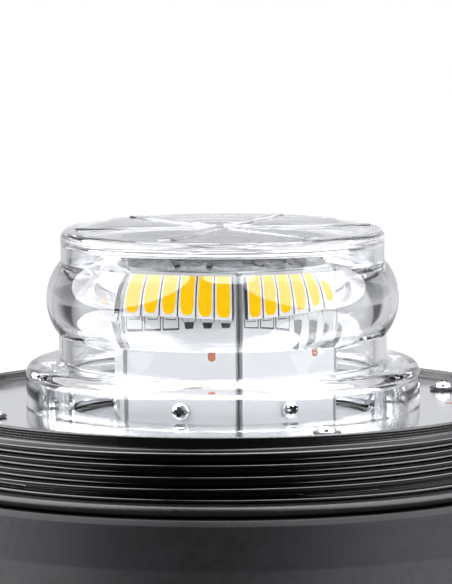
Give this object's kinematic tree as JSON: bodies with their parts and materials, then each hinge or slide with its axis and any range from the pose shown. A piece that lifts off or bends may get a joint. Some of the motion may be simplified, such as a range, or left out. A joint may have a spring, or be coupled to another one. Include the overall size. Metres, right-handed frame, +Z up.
{
  "type": "led safety flare",
  "caption": "Low-profile amber LED warning beacon: clear lens over a hexagonal LED tower, silver plate, threaded black collar, flared magnetic base.",
  "frame": {"origin": "middle of the underside, on the plane of the rubber pad's lower face", "axes": "+Z up along the lamp's axis, -Y is the front, +Y is the side with the cable gland"},
  "size_m": [0.132, 0.132, 0.0679],
  "materials": {
    "black_polymer": "satin black, finely textured round the rim",
    "dark_grey_polymer": "dark grey moulded, fine grain",
    "black_rubber": "smooth black rubber with a soft sheen",
    "clear_polycarbonate": "water-clear, polished",
    "polished_plate": "bright polished",
    "tower_aluminium": "extruded, satin",
    "white_solder_mask": "white solder mask, slightly glossy",
    "amber_led": "amber phosphor in white frames",
    "screw_steel": "bright nickel plate",
    "blackened_steel": "black oxide",
    "plated_cup": "zinc plate",
    "ferrite_magnet": "ground ferrite",
    "circuit_laminate": "green solder mask",
    "coil_ferrite": "dark ferrite drum",
    "capacitor_can": "sleeved can",
    "chip_epoxy": "moulded epoxy",
    "connector_nylon": "natural nylon",
    "harness_sleeve": "black sleeve"
  },
  "bodies": {
    "root": {"threaded_collar": "black_polymer", "base_housing": "dark_grey_polymer", "bottom_cover": "dark_grey_polymer", "gland_body": "dark_grey_polymer", "gland_cap": "dark_grey_polymer", "gland_locknut": "dark_grey_polymer", "cover_seal": "black_rubber", "base_pad": "black_rubber", "gland_seal": "black_rubber", "lens": "clear_polycarbonate", "reflector_plate": "polished_plate", "led_tower": "tower_aluminium", "led_board_1": "white_solder_mask", "led_board_2": "white_solder_mask", "led_board_3": "white_solder_mask", "led_board_4": "white_solder_mask", "led_board_5": "white_solder_mask", "led_board_6": "white_solder_mask", "led_row_1": "amber_led", "led_row_2": "amber_led", "led_row_3": "amber_led", "led_row_4": "amber_led", "led_row_5": "amber_led", "led_row_6": "amber_led", "board_screw_1": "screw_steel", "board_screw_2": "screw_steel", "board_screw_3": "screw_steel", "board_screw_4": "screw_steel", "board_screw_5": "screw_steel", "board_screw_6": "screw_steel", "plate_screw_1": "screw_steel", "plate_screw_2": "screw_steel", "plate_screw_3": "screw_steel", "plate_screw_4": "screw_steel", "tower_screw_1": "screw_steel", "tower_screw_2": "screw_steel", "lens_screw_1": "screw_steel", "lens_screw_2": "screw_steel", "driver_screw_1": "screw_steel", "driver_screw_2": "screw_steel", "driver_screw_3": "screw_steel", "magnet_screw": "screw_steel", "collar_screw_1": "blackened_steel", "collar_screw_2": "blackened_steel", "collar_screw_3": "blackened_steel", "collar_screw_4": "blackened_steel", "cover_screw_1": "blackened_steel", "cover_screw_2": "blackened_steel", "cover_screw_3": "blackened_steel", "magnet_cup": "plated_cup", "magnet_ring": "ferrite_magnet", "driver_board": "circuit_laminate", "driver_inductor": "coil_ferrite", "driver_capacitor_1": "capacitor_can", "driver_capacitor_2": "capacitor_can", "driver_chip": "chip_epoxy", "power_connector": "connector_nylon", "led_harness": "harness_sleeve"}
  },
  "joints": []
}
